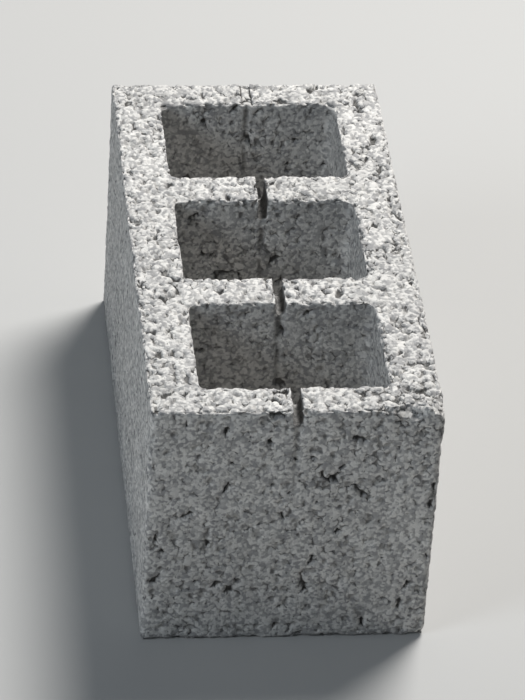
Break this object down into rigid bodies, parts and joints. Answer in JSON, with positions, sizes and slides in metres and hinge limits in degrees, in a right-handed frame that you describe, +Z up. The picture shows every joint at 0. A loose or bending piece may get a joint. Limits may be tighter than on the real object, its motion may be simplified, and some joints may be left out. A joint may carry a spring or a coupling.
{
  "type": "hollow concrete block",
  "caption": "Rectangular cast concrete masonry block with a row of tapered upright cells and a narrow core-bar slot across its end walls and webs.",
  "frame": {"origin": "centre of the bottom bed, on the plane that the block stands on", "axes": "+X along the block's length, +Y across its width, +Z up, from the bottom bed to the top bed that the core-bar slot opens in"},
  "size_m": [0.39, 0.19, 0.188],
  "materials": {
    "concrete": "open-textured pressed concrete, rough and matt, pale grey with dark pores"
  },
  "bodies": {
    "root": {"concrete_block": "concrete"}
  },
  "joints": []
}
